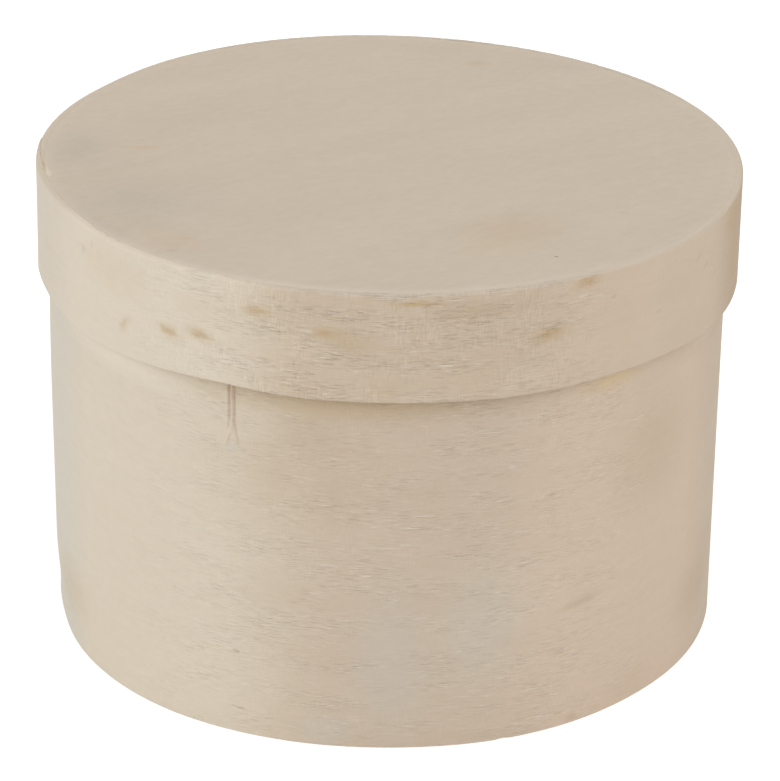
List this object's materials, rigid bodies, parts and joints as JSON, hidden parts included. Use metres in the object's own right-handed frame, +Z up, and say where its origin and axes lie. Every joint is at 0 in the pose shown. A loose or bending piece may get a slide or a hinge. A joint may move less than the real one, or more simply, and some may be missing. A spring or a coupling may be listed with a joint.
{
  "type": "round bentwood cheese box",
  "caption": "Round bentwood cheese box in pale unfinished veneer: a tall wall glued round a flat base board, and a pull-off lid whose low rim slips down over the wall.",
  "frame": {"origin": "centre of the underside of the base, on the surface that the box stands on", "axes": "+Z up, the way the lid lifts off; -Y the pictured front; +X to the right as seen from the front"},
  "size_m": [0.1203, 0.12, 0.083],
  "materials": {
    "wall_veneer": "raw sanded veneer, pale cream, grain round the ring, matt",
    "rim_veneer": "raw sanded veneer, pale cream with a few pin knots, grain round the ring, matt",
    "board_wood": "raw sanded board, pale grey-beige, grain from side to side, matt",
    "dried_glue": "dried wood glue, pale yellow, satin"
  },
  "bodies": {
    "box": {"wall_ring": "wall_veneer", "wall_lap_glue": "dried_glue", "base_board": "board_wood", "base_board_glue": "dried_glue"},
    "lid": {"rim_ring": "rim_veneer", "rim_lap_glue": "dried_glue", "lid_board": "board_wood", "lid_board_glue": "dried_glue"}
  },
  "joints": [
    {"name": "lid_lift", "type": "slide", "parent": "box", "child": "lid", "axis": [0, 0, 1], "range_m": [0, 0.04]}
  ]
}
